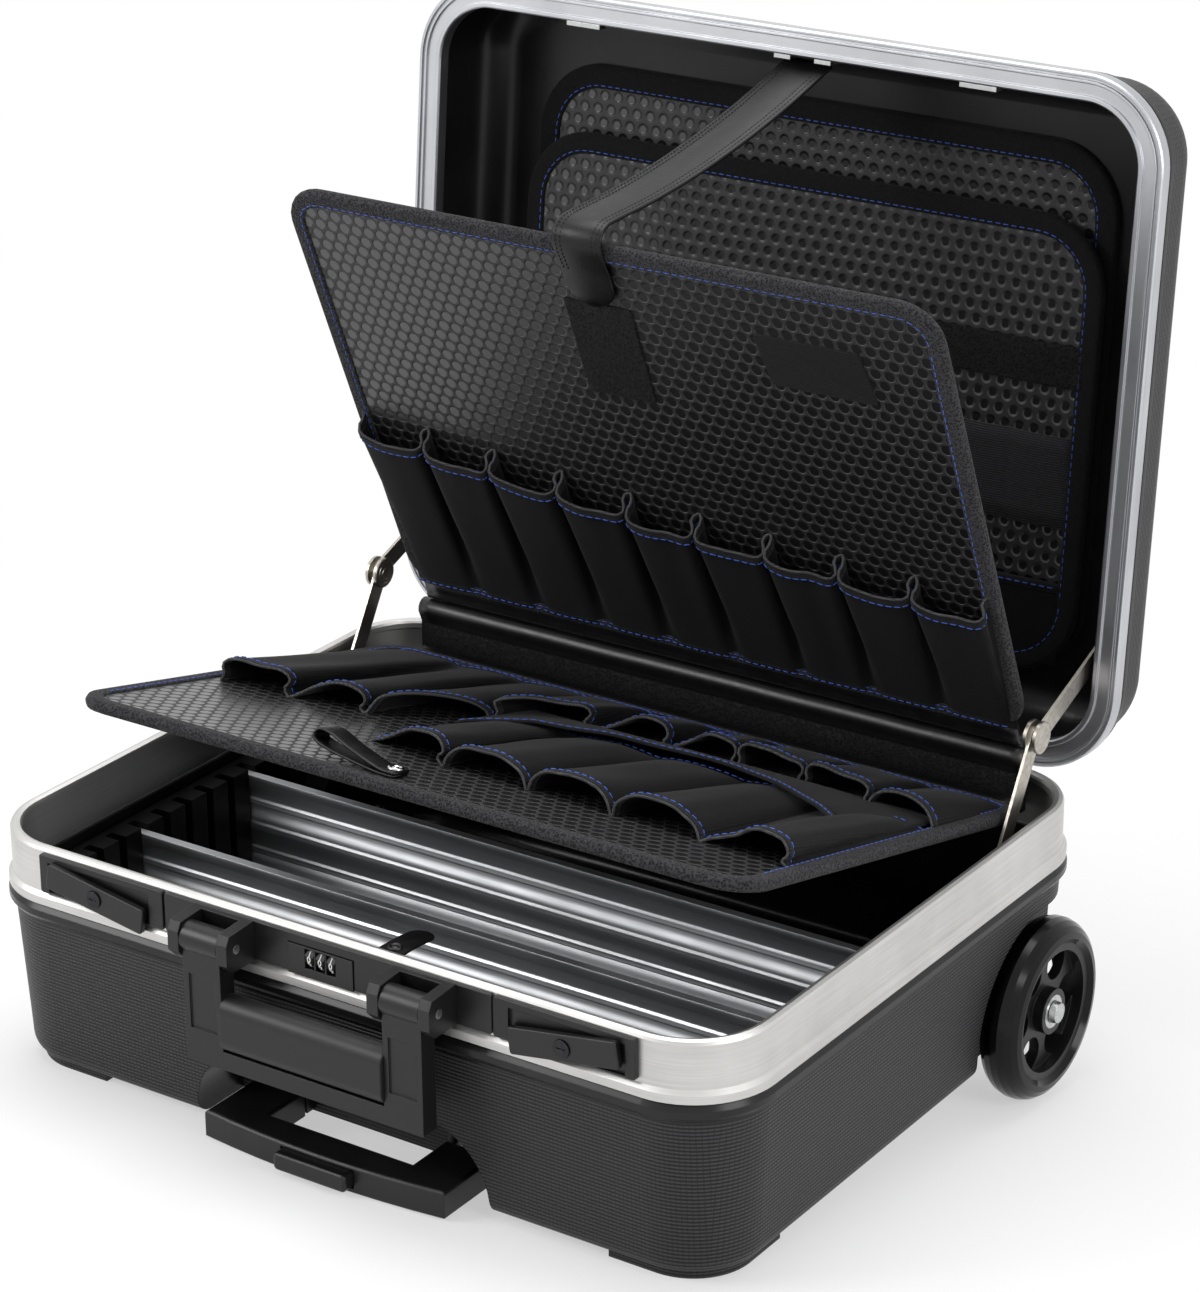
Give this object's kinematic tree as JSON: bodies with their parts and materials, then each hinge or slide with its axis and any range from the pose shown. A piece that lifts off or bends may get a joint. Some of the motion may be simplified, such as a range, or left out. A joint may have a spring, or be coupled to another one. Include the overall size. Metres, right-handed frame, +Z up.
{
  "type": "wheeled tool case",
  "caption": "Black hard-shell tool case with aluminium frames, hinged lid, folding tool boards, wheels, carry handle, latches, dial lock and a telescopic trolley handle.",
  "frame": {"origin": "on the floor under the centre of the part's box, standing on its front feet and wheels", "axes": "+X to the right along the front, +Y to the rear, +Z up"},
  "size_m": [0.5808, 0.5502, 0.6404],
  "materials": {
    "shell_plastic": "moulded black ABS with a fine ribbed grain",
    "frame_aluminium": "extruded aluminium, satin",
    "fitting_plastic": "moulded black plastic, fine grain",
    "grip_rubber": "soft black rubber",
    "zinc_steel": "zinc-plated steel",
    "nickel_steel": "nickel-plated steel",
    "divider_aluminium": "extruded aluminium, bright",
    "tube_aluminium": "drawn aluminium tube",
    "tyre_compound": "smooth black elastomer",
    "dial_plastic": "black number wheels",
    "board_sheet": "black board embossed with round dimples",
    "pocket_fabric": "black woven nylon",
    "strap_leather": "black leather"
  },
  "bodies": {
    "base": {"base_shell": "shell_plastic", "base_frame": "frame_aluminium", "front_plate": "fitting_plastic", "handle_brackets": "fitting_plastic", "handle_pins": "zinc_steel", "lock_body": "fitting_plastic", "latch_plates": "fitting_plastic", "divider_rails": "fitting_plastic", "divider_front": "divider_aluminium", "divider_rear": "divider_aluminium", "closing_tab": "strap_leather", "hinge_leaf_base": "zinc_steel", "hinge_pin": "zinc_steel", "spine": "strap_leather", "stay_rivets_base": "nickel_steel", "axle_bolts": "zinc_steel", "trolley_outer_tubes": "tube_aluminium", "trolley_guides": "fitting_plastic", "trolley_cover": "fitting_plastic"},
    "lid": {"lid_shell": "shell_plastic", "lid_frame": "frame_aluminium", "hinge_leaf_lid": "zinc_steel", "latch_strikes": "zinc_steel", "strap_clips": "zinc_steel", "organiser_back": "board_sheet", "organiser_front": "board_sheet", "organiser_bands": "pocket_fabric", "stay_rivets_lid": "nickel_steel", "strap": "strap_leather"},
    "strap_end": {"strap_tip": "strap_leather"},
    "upper_board": {"upper_board": "board_sheet", "upper_pockets": "pocket_fabric", "board_patches": "pocket_fabric"},
    "lower_board": {"lower_board": "board_sheet", "lower_pockets_rear": "pocket_fabric", "lower_pockets_front": "pocket_fabric", "pull_loop": "strap_leather"},
    "stay_lower_left": {"stay_lower_left": "nickel_steel"},
    "stay_lower_right": {"stay_lower_right": "nickel_steel"},
    "stay_upper_left": {"stay_upper_left": "nickel_steel"},
    "stay_upper_right": {"stay_upper_right": "nickel_steel"},
    "carry_handle": {"handle_frame": "fitting_plastic", "handle_grip": "grip_rubber"},
    "trolley_middle": {"trolley_middle_tubes": "tube_aluminium"},
    "trolley_pull": {"trolley_inner_tubes": "tube_aluminium", "trolley_bow": "fitting_plastic"},
    "trolley_button": {"trolley_button": "fitting_plastic"},
    "latch_left": {"latch_lever_left": "fitting_plastic"},
    "latch_right": {"latch_lever_right": "fitting_plastic"},
    "key_left": {"key_cylinder_left": "zinc_steel"},
    "key_right": {"key_cylinder_right": "zinc_steel"},
    "dial_left": {"dial_left": "dial_plastic"},
    "dial_middle": {"dial_middle": "dial_plastic"},
    "dial_right": {"dial_right": "dial_plastic"},
    "wheel_left": {"tyre_left": "tyre_compound", "hub_left": "fitting_plastic", "bearings_left": "zinc_steel"},
    "wheel_right": {"tyre_right": "tyre_compound", "hub_right": "fitting_plastic", "bearings_right": "zinc_steel"}
  },
  "joints": [
    {"name": "lid_hinge", "type": "hinge", "parent": "base", "child": "lid", "pos_m": [0, 0.19511, 0.19294], "axis": [1, 0, 0], "range_deg": [0, 95.56], "deforming": ["strap"]},
    {"name": "upper_board_fold", "type": "hinge", "parent": "base", "child": "upper_board", "pos_m": [0, 0.1685, 0.22172], "axis": [1, 0, 0], "range_deg": [0, 67.2]},
    {"name": "lower_board_fold", "type": "hinge", "parent": "base", "child": "lower_board", "pos_m": [0, 0.1622, 0.17901], "axis": [1, 0, 0], "range_deg": [0, 13.7]},
    {"name": "stay_lower_left_turn", "type": "hinge", "parent": "base", "child": "stay_lower_left", "pos_m": [0, 0.10729, 0.16416], "axis": [1, 0, 0], "range_deg": [0, 102.31]},
    {"name": "stay_upper_left_turn", "type": "hinge", "parent": "lid", "child": "stay_upper_left", "pos_m": [0, 0.22009, 0.27443], "axis": [1, 0, 0], "range_deg": [-103.27, 0]},
    {"name": "stay_lower_right_turn", "type": "hinge", "parent": "base", "child": "stay_lower_right", "pos_m": [0, 0.10729, 0.16416], "axis": [1, 0, 0], "range_deg": [0, 102.31]},
    {"name": "stay_upper_right_turn", "type": "hinge", "parent": "lid", "child": "stay_upper_right", "pos_m": [0, 0.22009, 0.27443], "axis": [1, 0, 0], "range_deg": [-103.27, 0]},
    {"name": "strap_end_turn", "type": "hinge", "parent": "lid", "child": "strap_end", "pos_m": [0, 0.18735, 0.10471], "axis": [1, 0, 0], "range_deg": [-28.36, 0], "deforming": ["strap_tip"]},
    {"name": "carry_handle_swing", "type": "hinge", "parent": "base", "child": "carry_handle", "pos_m": [0, -0.26516, 0.14157], "axis": [-1, 0, 0], "range_deg": [0, 95]},
    {"name": "latch_left_turn", "type": "hinge", "parent": "base", "child": "latch_left", "pos_m": [-0.173, -0.24829, 0.13803], "axis": [0, 0.9962, 0.0873], "range_deg": [-9, 0]},
    {"name": "latch_right_turn", "type": "hinge", "parent": "base", "child": "latch_right", "pos_m": [0.173, -0.24829, 0.13803], "axis": [0, 0.9962, 0.0873], "range_deg": [0, 9]},
    {"name": "key_left_turn", "type": "hinge", "parent": "latch_left", "child": "key_left", "pos_m": [-0.173, -0.25257, 0.13765], "axis": [0, 0.9962, 0.0873], "range_deg": [0, 90]},
    {"name": "key_right_turn", "type": "hinge", "parent": "latch_right", "child": "key_right", "pos_m": [0.173, -0.25257, 0.13765], "axis": [0, 0.9962, 0.0873], "range_deg": [0, 90]},
    {"name": "dial_left_spin", "type": "hinge", "parent": "base", "child": "dial_left", "pos_m": [0, -0.24357, 0.14145], "axis": [1, 0, 0], "continuous": true},
    {"name": "dial_middle_spin", "type": "hinge", "parent": "base", "child": "dial_middle", "pos_m": [0, -0.24357, 0.14145], "axis": [1, 0, 0], "continuous": true},
    {"name": "dial_right_spin", "type": "hinge", "parent": "base", "child": "dial_right", "pos_m": [0, -0.24357, 0.14145], "axis": [1, 0, 0], "continuous": true},
    {"name": "trolley_middle_slide", "type": "slide", "parent": "base", "child": "trolley_middle", "axis": [0, -0.9962, -0.0873], "range_m": [0, 0.24]},
    {"name": "trolley_pull_slide", "type": "slide", "parent": "trolley_middle", "child": "trolley_pull", "axis": [0, -0.9962, -0.0873], "range_m": [0, 0.24001]},
    {"name": "trolley_button_press", "type": "slide", "parent": "trolley_pull", "child": "trolley_button", "axis": [0, 0.9962, 0.0873], "range_m": [0, 0.004], "stiffness_N_per_m": 900},
    {"name": "wheel_left_spin", "type": "hinge", "parent": "base", "child": "wheel_left", "pos_m": [-0.275, 0.13749, 0.06], "axis": [1, 0, 0], "continuous": true},
    {"name": "wheel_right_spin", "type": "hinge", "parent": "base", "child": "wheel_right", "pos_m": [0.275, 0.13749, 0.06], "axis": [1, 0, 0], "continuous": true}
  ],
  "couplings": [
    {"joint": "upper_board_fold", "follows": "lid_hinge", "ratio": 0.70322},
    {"joint": "lower_board_fold", "follows": "lid_hinge", "ratio": 0.14337},
    {"joint": "stay_lower_left_turn", "follows": "lid_hinge", "ratio": 1.0707},
    {"joint": "stay_upper_left_turn", "follows": "lid_hinge", "ratio": -1.0807},
    {"joint": "stay_lower_right_turn", "follows": "lid_hinge", "ratio": 1.0707},
    {"joint": "stay_upper_right_turn", "follows": "lid_hinge", "ratio": -1.0807},
    {"joint": "strap_end_turn", "follows": "lid_hinge", "ratio": -0.29678},
    {"joint": "trolley_pull_slide", "follows": "trolley_middle_slide", "ratio": 1}
  ]
}
